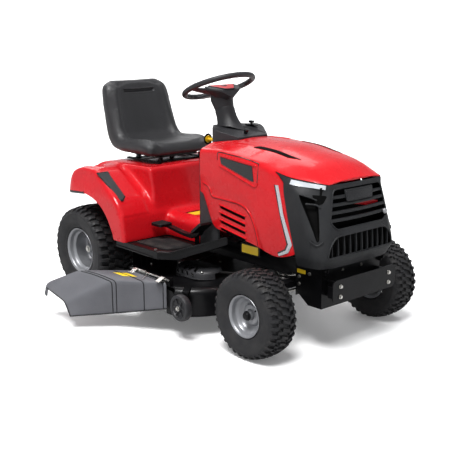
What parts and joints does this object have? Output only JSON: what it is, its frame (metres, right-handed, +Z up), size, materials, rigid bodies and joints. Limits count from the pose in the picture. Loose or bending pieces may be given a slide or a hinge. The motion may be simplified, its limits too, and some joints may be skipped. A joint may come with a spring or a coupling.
{
  "type": "riding lawn mower",
  "caption": "Riding lawn mower with tipping hood, bucket seat, steered swinging front axle, twin-blade side-discharge deck on a lift lever, and hinged discharge chute.",
  "frame": {"origin": "on the ground, on the centre line, midway between the front and rear axles", "axes": "+X forward, +Y to the driver's left, +Z up"},
  "size_m": [1.7445, 1.342, 1.1501],
  "materials": {
    "belt_rubber": "matte",
    "black_paint": "satin",
    "cast_metal": "rough",
    "chute_plastic": "matte",
    "dark_plastic": "matte",
    "lens": "clear",
    "mat_rubber": "matte",
    "red_paint": "gloss",
    "red_plastic": "gloss",
    "rim_paint": "satin",
    "seat_vinyl": "satin",
    "silver_trim": "gloss",
    "steel": "satin",
    "tyre_rubber": "matte",
    "yellow_plastic": "gloss",
    "zinc": "satin"
  },
  "bodies": {
    "chassis": {"chassis_frame": "black_paint", "front_cradle": "black_paint", "front_bumper": "black_paint", "footboards": "black_paint", "footboard_mats": "mat_rubber", "rear_fender": "red_plastic", "fender_inserts": "dark_plastic", "dash_tower": "dark_plastic", "dash_console": "dark_plastic", "column_cover": "dark_plastic", "transaxle_case": "cast_metal", "engine_block": "cast_metal", "engine_shroud": "black_paint", "muffler": "steel", "fuel_tank": "dark_plastic", "drive_belt": "belt_rubber", "chassis_bolts": "zinc", "seat_base": "black_paint"},
    "hood": {"hood_shell": "red_paint", "grille_bezel": "dark_plastic", "headlight_lenses": "lens", "side_trims": "silver_trim"},
    "steering": {"steering_wheel": "dark_plastic", "steering_cap": "red_plastic", "steering_shaft": "steel"},
    "lower_steering": {"pinion_shaft": "steel"},
    "sector": {"sector_gear": "steel"},
    "axle": {"front_axle": "black_paint"},
    "spindle_r": {"spindle_right": "steel"},
    "spindle_l": {"spindle_left": "steel"},
    "tie": {"tie_rod": "steel"},
    "drag": {"drag_link": "steel"},
    "front_wheel_r": {"front_rim_right": "rim_paint", "front_tyre_right": "tyre_rubber"},
    "front_wheel_l": {"front_rim_left": "rim_paint", "front_tyre_left": "tyre_rubber"},
    "rear_wheel_r": {"rear_rim_right": "rim_paint", "rear_tyre_right": "tyre_rubber"},
    "rear_wheel_l": {"rear_rim_left": "rim_paint", "rear_tyre_left": "tyre_rubber"},
    "seat": {"seat_cushion": "seat_vinyl"},
    "treadle": {"drive_pedal": "black_paint"},
    "brake": {"brake_pedal": "black_paint"},
    "lift": {"lift_lever": "black_paint"},
    "throttle": {"throttle_lever": "dark_plastic"},
    "pto": {"pto_knob": "yellow_plastic"},
    "key": {"ignition_key": "zinc"},
    "crank": {"crank_pulley": "steel"},
    "input_pulley": {"transaxle_pulley": "steel"},
    "deck": {"deck_shell": "black_paint", "spindle_housings": "cast_metal", "belt_covers": "dark_plastic", "deck_belt": "belt_rubber"},
    "chute": {"discharge_chute": "chute_plastic"},
    "cutter_r": {"blade_right": "steel", "deck_pulley_right": "steel"},
    "cutter_l": {"blade_left": "steel", "deck_pulley_left": "steel"},
    "gauge_r": {"gauge_wheel_right": "dark_plastic"},
    "gauge_l": {"gauge_wheel_left": "dark_plastic"}
  },
  "joints": [
    {"name": "hood_tip", "type": "hinge", "parent": "chassis", "child": "hood", "pos_m": [0.82, 0, 0.375], "axis": [0, 1, 0], "range_deg": [0, 55]},
    {"name": "steering_turn", "type": "hinge", "parent": "chassis", "child": "steering", "pos_m": [-0.054, 0, 1.075], "axis": [-0.3665, 0, 0.9304], "range_deg": [-170, 170]},
    {"name": "pinion_turn", "type": "hinge", "parent": "chassis", "child": "lower_steering", "pos_m": [0.19412, 0, 0.3], "axis": [0, 0, 1], "range_deg": [-170, 170]},
    {"name": "sector_turn", "type": "hinge", "parent": "chassis", "child": "sector", "pos_m": [0.2382, -0.05309, 0.3], "axis": [0, 0, 1], "range_deg": [-35, 35]},
    {"name": "axle_roll", "type": "hinge", "parent": "chassis", "child": "axle", "pos_m": [0.623, 0, 0.271], "axis": [1, 0, 0], "range_deg": [-6, 6]},
    {"name": "steer_right", "type": "hinge", "parent": "axle", "child": "spindle_r", "pos_m": [0.623, -0.308, 0.27], "axis": [0, 0, 1], "range_deg": [-35, 35]},
    {"name": "steer_left", "type": "hinge", "parent": "axle", "child": "spindle_l", "pos_m": [0.623, 0.308, 0.27], "axis": [0, 0, 1], "range_deg": [-35, 35]},
    {"name": "tie_rod_swing", "type": "hinge", "parent": "spindle_r", "child": "tie", "pos_m": [0.548, -0.308, 0.212], "axis": [0, 0, 1], "range_deg": [-35, 35]},
    {"name": "drag_link_swing", "type": "hinge", "parent": "spindle_r", "child": "drag", "pos_m": [0.66718, -0.24131, 0.238], "axis": [0, 0, 1], "range_deg": [-35, 35]},
    {"name": "front_wheel_right_spin", "type": "hinge", "parent": "spindle_r", "child": "front_wheel_r", "pos_m": [0.623, -0.402, 0.1905], "axis": [0, 1, 0], "continuous": true},
    {"name": "front_wheel_left_spin", "type": "hinge", "parent": "spindle_l", "child": "front_wheel_l", "pos_m": [0.623, 0.402, 0.1905], "axis": [0, 1, 0], "continuous": true},
    {"name": "rear_wheel_right_spin", "type": "hinge", "parent": "chassis", "child": "rear_wheel_r", "pos_m": [-0.623, -0.3645, 0.2286], "axis": [0, 1, 0], "continuous": true},
    {"name": "rear_wheel_left_spin", "type": "hinge", "parent": "chassis", "child": "rear_wheel_l", "pos_m": [-0.623, 0.3645, 0.2286], "axis": [0, 1, 0], "continuous": true},
    {"name": "seat_tip", "type": "hinge", "parent": "chassis", "child": "seat", "pos_m": [-0.35, 0, 0.697], "axis": [0, 1, 0], "range_deg": [0, 45]},
    {"name": "drive_pedal_rock", "type": "hinge", "parent": "chassis", "child": "treadle", "pos_m": [0.04, -0.244, 0.395], "axis": [0, 1, 0], "range_deg": [-12, 12], "stiffness_Nm_per_rad": 6},
    {"name": "brake_press", "type": "hinge", "parent": "chassis", "child": "brake", "pos_m": [0.04, 0.25, 0.385], "axis": [0, 1, 0], "range_deg": [0, 20], "stiffness_Nm_per_rad": 6, "springref_deg": -17.19},
    {"name": "deck_lift", "type": "slide", "parent": "chassis", "child": "deck", "axis": [0, 0, 1], "range_m": [-0.066, 0], "deforming": ["deck_belt"]},
    {"name": "lift_lever_swing", "type": "hinge", "parent": "chassis", "child": "lift", "pos_m": [-0.325, 0, 0.27], "axis": [0, 1, 0], "range_deg": [0, 25.5]},
    {"name": "throttle_swing", "type": "hinge", "parent": "chassis", "child": "throttle", "pos_m": [0.078, 0.092, 0.868], "axis": [0, 1, 0], "range_deg": [-25, 25]},
    {"name": "pto_pull", "type": "slide", "parent": "chassis", "child": "pto", "axis": [1, 0, 0], "range_m": [-0.015, 0]},
    {"name": "key_turn", "type": "hinge", "parent": "chassis", "child": "key", "pos_m": [0.056, 0.12, 0.755], "axis": [1, 0, 0], "range_deg": [0, 90]},
    {"name": "crank_spin", "type": "hinge", "parent": "chassis", "child": "crank", "pos_m": [0.43, 0, 0.3], "axis": [0, 0, 1], "continuous": true},
    {"name": "input_pulley_spin", "type": "hinge", "parent": "chassis", "child": "input_pulley", "pos_m": [-0.6, 0, 0.34], "axis": [0, 0, 1], "continuous": true},
    {"name": "chute_swing", "type": "hinge", "parent": "deck", "child": "chute", "pos_m": [0, -0.508, 0.257], "axis": [-1, 0, 0], "range_deg": [0, 80]},
    {"name": "blade_right_spin", "type": "hinge", "parent": "deck", "child": "cutter_r", "pos_m": [0.06, -0.262, 0.12], "axis": [0, 0, 1], "continuous": true},
    {"name": "blade_left_spin", "type": "hinge", "parent": "deck", "child": "cutter_l", "pos_m": [-0.08, 0.262, 0.12], "axis": [0, 0, 1], "continuous": true},
    {"name": "gauge_wheel_right_spin", "type": "hinge", "parent": "deck", "child": "gauge_r", "pos_m": [0.28, -0.52, 0.157], "axis": [0, 1, 0], "continuous": true},
    {"name": "gauge_wheel_left_spin", "type": "hinge", "parent": "deck", "child": "gauge_l", "pos_m": [0.14, 0.52, 0.157], "axis": [0, 1, 0], "continuous": true}
  ],
  "couplings": [
    {"joint": "steer_left", "follows": "steer_right", "ratio": 1},
    {"joint": "sector_turn", "follows": "steer_right", "ratio": 1},
    {"joint": "tie_rod_swing", "follows": "steer_right", "ratio": -1},
    {"joint": "drag_link_swing", "follows": "steer_right", "ratio": -1},
    {"joint": "pinion_turn", "follows": "steer_right", "ratio": 4.8333},
    {"joint": "steering_turn", "follows": "steer_right", "ratio": 4.8333},
    {"joint": "lift_lever_swing", "follows": "deck_lift", "rad_per_m": -6.7217},
    {"joint": "blade_left_spin", "follows": "blade_right_spin", "ratio": 1},
    {"joint": "crank_spin", "follows": "blade_right_spin", "ratio": 1.0909},
    {"joint": "input_pulley_spin", "follows": "blade_right_spin", "ratio": 0.87977}
  ]
}
